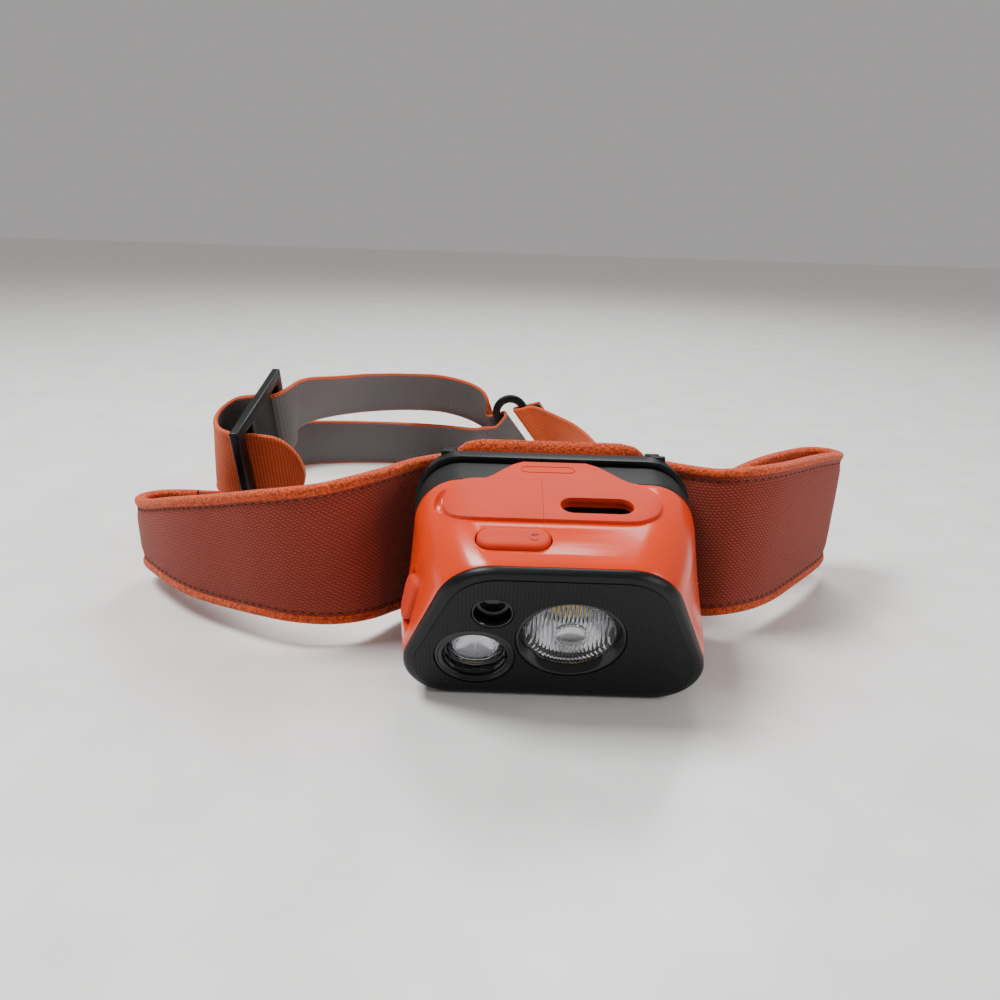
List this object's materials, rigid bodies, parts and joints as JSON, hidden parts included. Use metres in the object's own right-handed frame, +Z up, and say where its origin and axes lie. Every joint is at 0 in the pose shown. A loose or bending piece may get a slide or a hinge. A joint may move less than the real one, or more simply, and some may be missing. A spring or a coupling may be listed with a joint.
{
  "type": "headlamp",
  "caption": "Rechargeable headlamp with a tilting lamp, flood and spot beams, a padded front band and an adjustable rear strap.",
  "frame": {"origin": "middle of the lamp's lower front edge, on the surface that the lamp stands on", "axes": "+Z up, the beam goes towards -Y, +X is to the right of someone who faces the lamp; the band lies towards +Y"},
  "size_m": [0.2004, 0.1837, 0.0572],
  "materials": {
    "shell_orange": "gloss",
    "soft_orange": "matte",
    "black_plastic": "satin",
    "dark_gloss": "gloss",
    "clear_lens": "clear",
    "seal": "matte",
    "steel": "satin",
    "aluminium": "satin",
    "circuit": "satin",
    "led": "satin",
    "cell": "satin",
    "contact": "satin",
    "webbing": "woven",
    "band_cloth": "woven",
    "pad_cloth": "soft"
  },
  "bodies": {
    "headband": {"bracket": "black_plastic", "hinge_pins": "steel", "detent_spring": "steel", "band_left": "band_cloth", "band_right": "band_cloth", "band_middle": "band_cloth", "forehead_pad": "pad_cloth", "rear_strap": "webbing", "ring_strap": "webbing", "adjuster_keeper": "webbing", "strap_adjuster": "black_plastic", "strap_ring": "black_plastic"},
    "lamp": {"bezel": "black_plastic", "front_shell": "shell_orange", "rear_housing": "black_plastic", "housing_seal": "seal", "housing_screws": "steel", "flood_lens": "clear_lens", "flood_reflector": "dark_gloss", "spot_lens": "clear_lens", "spot_ring": "black_plastic", "sensor_window": "dark_gloss", "led_board": "circuit", "flood_led": "led", "spot_led": "led", "light_sensor": "dark_gloss", "heat_sink": "aluminium", "main_board": "circuit", "battery_pack": "cell", "battery_contacts": "contact", "usb_socket": "steel", "power_switch": "black_plastic", "side_switch": "black_plastic", "slot_pocket": "black_plastic", "cover_anchor": "soft_orange"},
    "power_button": {"power_button": "soft_orange"},
    "side_button": {"side_button": "soft_orange"},
    "cover_flap": {"cover_flap": "soft_orange"}
  },
  "joints": [
    {"name": "lamp_tilt", "type": "hinge", "parent": "headband", "child": "lamp", "pos_m": [0, 0.031, 0.0045], "axis": [1, 0, 0], "range_deg": [0, 60]},
    {"name": "power_button_press", "type": "slide", "parent": "lamp", "child": "power_button", "axis": [0, 0.2924, -0.9563], "range_m": [0, 0.001], "stiffness_N_per_m": 400},
    {"name": "side_button_press", "type": "slide", "parent": "lamp", "child": "side_button", "axis": [1, 0, 0], "range_m": [0, 0.0008], "stiffness_N_per_m": 400},
    {"name": "cover_flap_open", "type": "hinge", "parent": "lamp", "child": "cover_flap", "pos_m": [-0.00342, 0.0082, 0.0439], "axis": [0, 0.9767, 0.2147], "range_deg": [0, 100], "stiffness_Nm_per_rad": 0.004}
  ]
}
